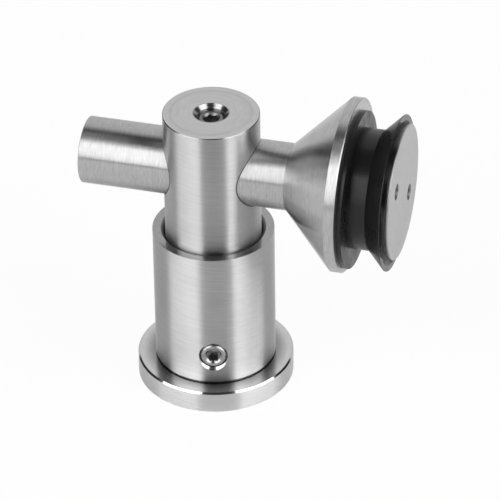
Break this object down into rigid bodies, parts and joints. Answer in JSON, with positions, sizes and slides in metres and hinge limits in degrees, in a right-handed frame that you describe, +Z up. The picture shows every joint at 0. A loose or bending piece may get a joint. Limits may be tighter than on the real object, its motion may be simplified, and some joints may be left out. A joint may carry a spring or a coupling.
{
  "type": "glass angle bracket",
  "caption": "Stainless bracket for a glass panel: a post turns in a footed sleeve and carries a sliding arm that ends in a cone, black bush and countersunk clamp disc.",
  "frame": {"origin": "middle of the foot's underside, at the mouth of the tapped fixing hole", "axes": "+Z up the post, +X along the arm towards the glass clamp, -Y the side that the sleeve's grub screw faces"},
  "size_m": [0.0937, 0.0506, 0.0962],
  "materials": {
    "brushed_stainless": "satin, brushed round the turned surfaces",
    "screw_steel": "plain turned steel",
    "gasket_black": "smooth, glossy",
    "bush_black": "moulded, semi-gloss"
  },
  "bodies": {
    "base": {"base_flange": "brushed_stainless", "sleeve": "brushed_stainless"},
    "sleeve_screw": {"sleeve_grub_screw": "screw_steel"},
    "post": {"post": "brushed_stainless"},
    "post_screw": {"post_grub_screw": "screw_steel"},
    "arm": {"arm": "brushed_stainless", "rear_gasket": "gasket_black"},
    "bush": {"glass_bush": "bush_black"},
    "disc": {"clamp_stud": "screw_steel", "front_disc": "brushed_stainless"}
  },
  "joints": [
    {"name": "post_swivel", "type": "hinge", "parent": "base", "child": "post", "pos_m": [0, 0, 0.05], "axis": [0, 0, 1], "continuous": true},
    {"name": "arm_slide", "type": "slide", "parent": "post", "child": "arm", "axis": [1, 0, 0], "range_m": [-0.009, 0.023]},
    {"name": "bush_slide", "type": "slide", "parent": "arm", "child": "bush", "axis": [1, 0, 0], "range_m": [0, 0.006]},
    {"name": "disc_turn", "type": "hinge", "parent": "bush", "child": "disc", "pos_m": [0.05, 0, 0.071], "axis": [1, 0, 0], "range_deg": [0, 1440]},
    {"name": "sleeve_screw_out", "type": "slide", "parent": "base", "child": "sleeve_screw", "axis": [0.2317, -0.9728, 0], "range_m": [0, 0.0026]},
    {"name": "post_screw_out", "type": "slide", "parent": "post", "child": "post_screw", "axis": [0, 0, 1], "range_m": [0, 0.0024]}
  ],
  "couplings": [
    {"joint": "bush_slide", "follows": "disc_turn", "m_per_rad": 0.00023873}
  ]
}
